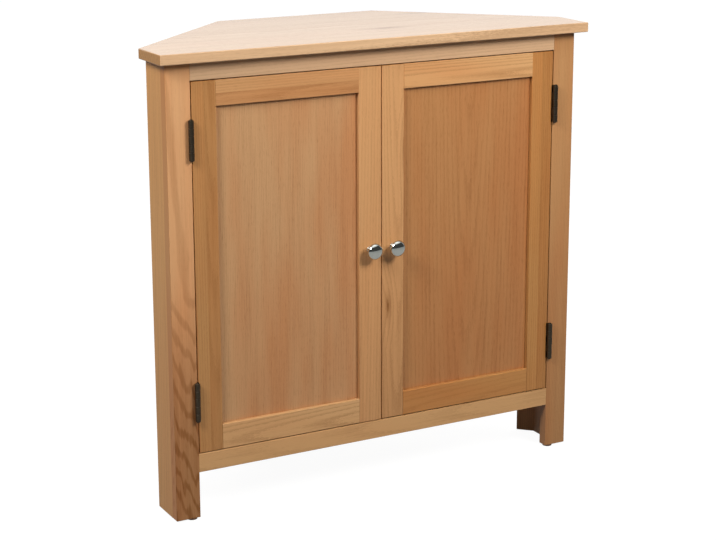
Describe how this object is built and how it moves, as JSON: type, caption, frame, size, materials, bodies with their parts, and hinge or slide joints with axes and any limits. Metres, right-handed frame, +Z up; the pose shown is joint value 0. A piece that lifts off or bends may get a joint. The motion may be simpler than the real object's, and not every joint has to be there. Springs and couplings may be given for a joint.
{
  "type": "corner cupboard",
  "caption": "Floor-standing oak corner cupboard with a six-sided top, slanting rear walls, framed inset doors on butt hinges, round chrome knobs and a loose shelf inside.",
  "frame": {"origin": "on the floor, in the middle of the cupboard's outer width and of its outer depth with the knobs counted", "axes": "+X along the width, to the right as seen from in front of the doors; +Y from the doors towards the room's corner; +Z up"},
  "size_m": [0.8, 0.34, 0.78],
  "materials": {
    "oak_top": "pale oiled oak with a silky sheen",
    "oak_frame": "oiled oak with straight and cathedral grain",
    "oak_carcass": "oiled oak boards",
    "oak_panel": "fine straight-grained oak veneer, oiled",
    "bronzed_steel": "dark antique bronze finish on steel",
    "polished_chrome": "polished chrome",
    "zinc": "bright zinc plate",
    "brown_plastic": "moulded brown plastic, matt",
    "ferrite": "dark sintered ferrite"
  },
  "bodies": {
    "carcass": {"top_board": "oak_top", "left_front_stile": "oak_frame", "right_front_stile": "oak_frame", "front_top_rail": "oak_frame", "front_bottom_rail": "oak_frame", "left_side_board": "oak_carcass", "right_side_board": "oak_carcass", "left_wall_panel": "oak_carcass", "right_wall_panel": "oak_carcass", "back_panel": "oak_carcass", "floor_board": "oak_carcass", "shelf": "oak_carcass", "top_cleat_front": "oak_carcass", "top_cleat_left": "oak_carcass", "top_cleat_right": "oak_carcass", "top_cleat_back": "oak_carcass", "floor_cleat_left": "oak_carcass", "floor_cleat_right": "oak_carcass", "floor_cleat_back": "oak_carcass", "left_front_shelf_pin": "zinc", "right_front_shelf_pin": "zinc", "left_back_shelf_pin": "zinc", "right_back_shelf_pin": "zinc", "left_catch_housing": "brown_plastic", "right_catch_housing": "brown_plastic", "left_catch_magnet": "ferrite", "right_catch_magnet": "ferrite", "left_front_glide": "brown_plastic", "right_front_glide": "brown_plastic", "left_back_glide": "brown_plastic", "right_back_glide": "brown_plastic", "left_upper_hinge_frame_leaf": "bronzed_steel", "left_upper_hinge_pin": "bronzed_steel", "left_lower_hinge_frame_leaf": "bronzed_steel", "left_lower_hinge_pin": "bronzed_steel", "right_upper_hinge_frame_leaf": "bronzed_steel", "right_upper_hinge_pin": "bronzed_steel", "right_lower_hinge_frame_leaf": "bronzed_steel", "right_lower_hinge_pin": "bronzed_steel"},
    "left_door": {"left_door_hinge_stile": "oak_frame", "left_door_meeting_stile": "oak_frame", "left_door_top_rail": "oak_frame", "left_door_bottom_rail": "oak_frame", "left_door_panel": "oak_panel", "left_knob": "polished_chrome", "left_knob_screw": "zinc", "left_strike_plate": "zinc", "left_upper_hinge_door_leaf": "bronzed_steel", "left_lower_hinge_door_leaf": "bronzed_steel"},
    "right_door": {"right_door_hinge_stile": "oak_frame", "right_door_meeting_stile": "oak_frame", "right_door_top_rail": "oak_frame", "right_door_bottom_rail": "oak_frame", "right_door_panel": "oak_panel", "right_knob": "polished_chrome", "right_knob_screw": "zinc", "right_strike_plate": "zinc", "right_upper_hinge_door_leaf": "bronzed_steel", "right_lower_hinge_door_leaf": "bronzed_steel"}
  },
  "joints": [
    {"name": "left_door_hinge", "type": "hinge", "parent": "carcass", "child": "left_door", "pos_m": [-0.3447, -0.14965, 0.42], "axis": [0, 0, -1], "range_deg": [0, 135]},
    {"name": "right_door_hinge", "type": "hinge", "parent": "carcass", "child": "right_door", "pos_m": [0.3447, -0.14965, 0.42], "axis": [0, 0, 1], "range_deg": [0, 135]}
  ]
}
